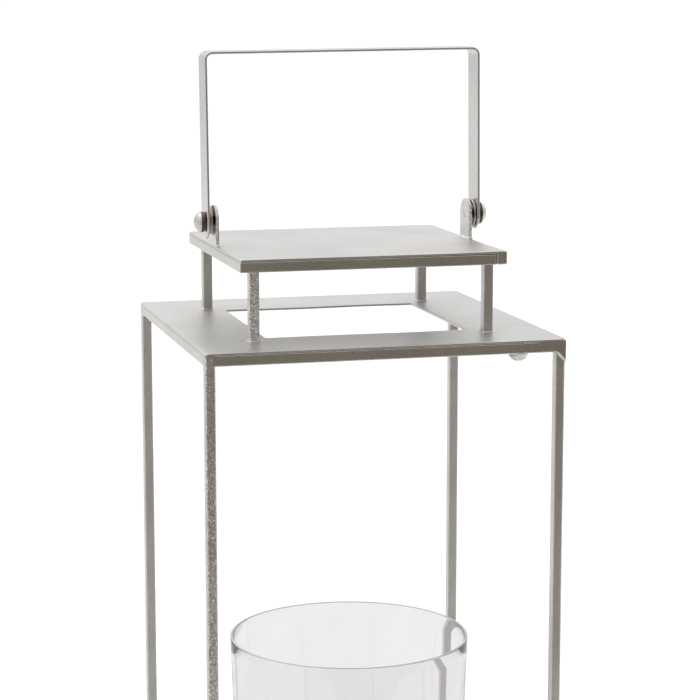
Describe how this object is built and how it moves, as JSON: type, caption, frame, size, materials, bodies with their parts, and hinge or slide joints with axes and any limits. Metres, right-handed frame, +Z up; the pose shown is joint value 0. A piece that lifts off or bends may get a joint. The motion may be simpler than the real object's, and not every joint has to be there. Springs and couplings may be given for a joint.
{
  "type": "candle lantern",
  "caption": "Open square iron candle lantern with a raised roof, a swinging strap handle and a loose glass cup.",
  "frame": {"origin": "middle of the footprint, on the surface that the lantern stands on", "axes": "+Z up; the front faces -Y; the handle's pivot axis runs along X"},
  "size_m": [0.2, 0.2, 0.5548],
  "materials": {
    "nickel_iron": "satin nickel-silver coat on iron bar and sheet, fine sprayed grain",
    "rivet_steel": "bright, lightly dulled",
    "clear_rubber": "clear, glossy",
    "clear_glass": "clear, polished"
  },
  "bodies": {
    "frame": {"base_sheet": "nickel_iron", "top_sheet": "nickel_iron", "roof_sheet": "nickel_iron", "base_rail_front": "nickel_iron", "base_rail_back": "nickel_iron", "base_rail_left": "nickel_iron", "base_rail_right": "nickel_iron", "top_rail_front": "nickel_iron", "top_rail_back": "nickel_iron", "top_rail_left": "nickel_iron", "top_rail_right": "nickel_iron", "roof_rail_front": "nickel_iron", "roof_rail_back": "nickel_iron", "roof_rail_left": "nickel_iron", "roof_rail_right": "nickel_iron", "post_front_left": "nickel_iron", "post_front_right": "nickel_iron", "post_back_left": "nickel_iron", "post_back_right": "nickel_iron", "roof_post_front_left": "nickel_iron", "roof_post_front_right": "nickel_iron", "roof_post_back_left": "nickel_iron", "roof_post_back_right": "nickel_iron", "handle_ear_left": "nickel_iron", "handle_ear_right": "nickel_iron", "foot_pad_front_left": "clear_rubber", "foot_pad_front_right": "clear_rubber", "foot_pad_back_left": "clear_rubber", "foot_pad_back_right": "clear_rubber", "stop_pad": "clear_rubber", "rivet_left": "rivet_steel", "rivet_right": "rivet_steel", "inner_washer_left": "rivet_steel", "inner_washer_right": "rivet_steel", "outer_washer_left": "rivet_steel", "outer_washer_right": "rivet_steel"},
    "handle": {"handle_strap": "nickel_iron"},
    "glass": {"glass_cup": "clear_glass"}
  },
  "joints": [
    {"name": "handle_swing", "type": "hinge", "parent": "frame", "child": "handle", "pos_m": [0, 0, 0.4594], "axis": [1, 0, 0], "range_deg": [-121, 121]},
    {"name": "glass_lift", "type": "slide", "parent": "frame", "child": "glass", "axis": [0, 0, 1], "range_m": [0, 0.17]}
  ]
}
